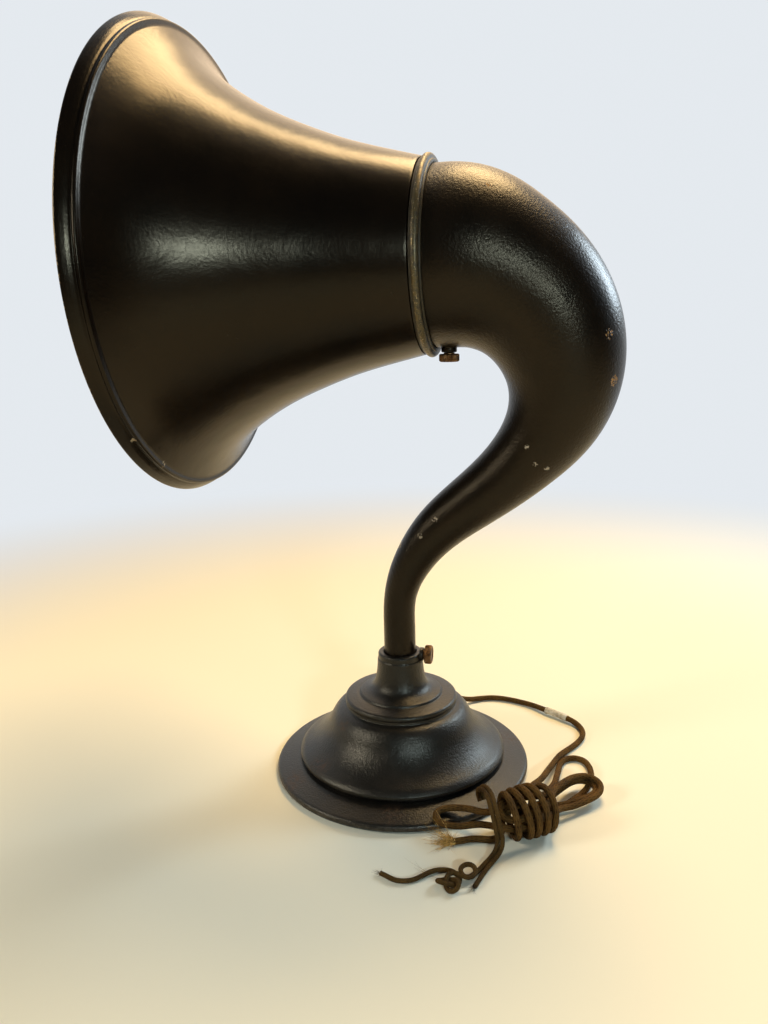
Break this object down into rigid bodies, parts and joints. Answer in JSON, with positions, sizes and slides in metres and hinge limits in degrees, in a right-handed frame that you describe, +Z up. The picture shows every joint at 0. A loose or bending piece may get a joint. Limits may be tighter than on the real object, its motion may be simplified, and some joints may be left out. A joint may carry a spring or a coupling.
{
  "type": "horn loudspeaker",
  "caption": "Table-top horn loudspeaker with a spun bell on a cast gooseneck, clamped in a domed base that holds the driver unit.",
  "frame": {"origin": "middle of the felt underside, on the surface the loudspeaker stands on, on the stem's axis", "axes": "+Z up along the stem; -Y out of the bell's mouth; +X to the left of someone facing the mouth"},
  "size_m": [0.356, 0.3418, 0.5978],
  "materials": {
    "black_casting": "satin black enamel on iron, fine sandy texture, worn brown in places",
    "neck_paint": "satin dark brown-black enamel with a fine orange-peel texture and small chips",
    "bell_enamel": "semi-gloss dark brown-black enamel, smooth",
    "worn_bead": "dull olive brass, worn, with light specks",
    "aged_brass": "tarnished, coppery on the worn faces",
    "felt": "green baize",
    "cover_sheet": "dull plated sheet",
    "magnet_steel": "red painted magnet steel",
    "soft_iron": "plain iron",
    "driver_black": "black japanned",
    "fish_paper": "grey-brown gasket paper",
    "red_fibre": "vulcanised fibre",
    "coil_wire": "waxed coil winding",
    "screw_steel": "bright steel",
    "cord_cloth": "brown braided cotton",
    "white_tape": "off-white cloth tape",
    "gasket_rubber": "black rubber"
  },
  "bodies": {
    "base": {"base_ring": "black_casting", "felt_pad": "felt", "bottom_cover": "cover_sheet", "base_casting": "black_casting", "cord_bushing": "red_fibre", "base_screw_1": "screw_steel", "base_screw_2": "screw_steel", "base_screw_3": "screw_steel", "base_screw_4": "screw_steel", "cover_screw_1": "screw_steel", "cover_screw_2": "screw_steel", "cover_screw_3": "screw_steel", "driver_cap": "driver_black", "driver_case": "driver_black", "driver_screw_1": "screw_steel", "driver_screw_2": "screw_steel", "driver_screw_3": "screw_steel", "gasket_lower": "fish_paper", "diaphragm": "soft_iron", "gasket_upper": "fish_paper", "magnet": "magnet_steel", "pole_piece_1": "soft_iron", "pole_piece_2": "soft_iron", "coil_1": "coil_wire", "coil_2": "coil_wire", "lead_wire_1": "cord_cloth", "lead_wire_2": "cord_cloth", "terminal_block": "red_fibre", "terminal_screw_1": "aged_brass", "terminal_screw_2": "aged_brass", "throat_gasket": "gasket_rubber", "cord_run": "cord_cloth", "cord_tape": "white_tape", "cord_hank": "cord_cloth", "cord_loop_1": "cord_cloth", "cord_loop_2": "cord_cloth", "cord_loop_3": "cord_cloth", "cord_core_1": "cord_cloth", "cord_core_2": "cord_cloth", "cord_knot": "cord_cloth", "cord_tip": "cord_cloth", "cord_fray": "cord_cloth"},
    "horn": {"gooseneck": "neck_paint", "neck_bead": "worn_bead"},
    "bell": {"bell": "bell_enamel"},
    "collar_screw": {"collar_screw": "aged_brass"},
    "bell_screw": {"bell_screw": "aged_brass"}
  },
  "joints": [
    {"name": "horn_swivel", "type": "hinge", "parent": "base", "child": "horn", "pos_m": [0, 0, 0.1], "axis": [0, 0, 1], "continuous": true},
    {"name": "bell_pull", "type": "slide", "parent": "horn", "child": "bell", "axis": [0, -1, 0], "range_m": [0, 0.03]},
    {"name": "collar_screw_turn", "type": "hinge", "parent": "base", "child": "collar_screw", "pos_m": [0, 0.02, 0.101], "axis": [0, 1, 0], "range_deg": [-720, 0]},
    {"name": "bell_screw_turn", "type": "hinge", "parent": "horn", "child": "bell_screw", "pos_m": [0, 0.0434, 0.35], "axis": [0, 0, -1], "range_deg": [-720, 0]}
  ]
}
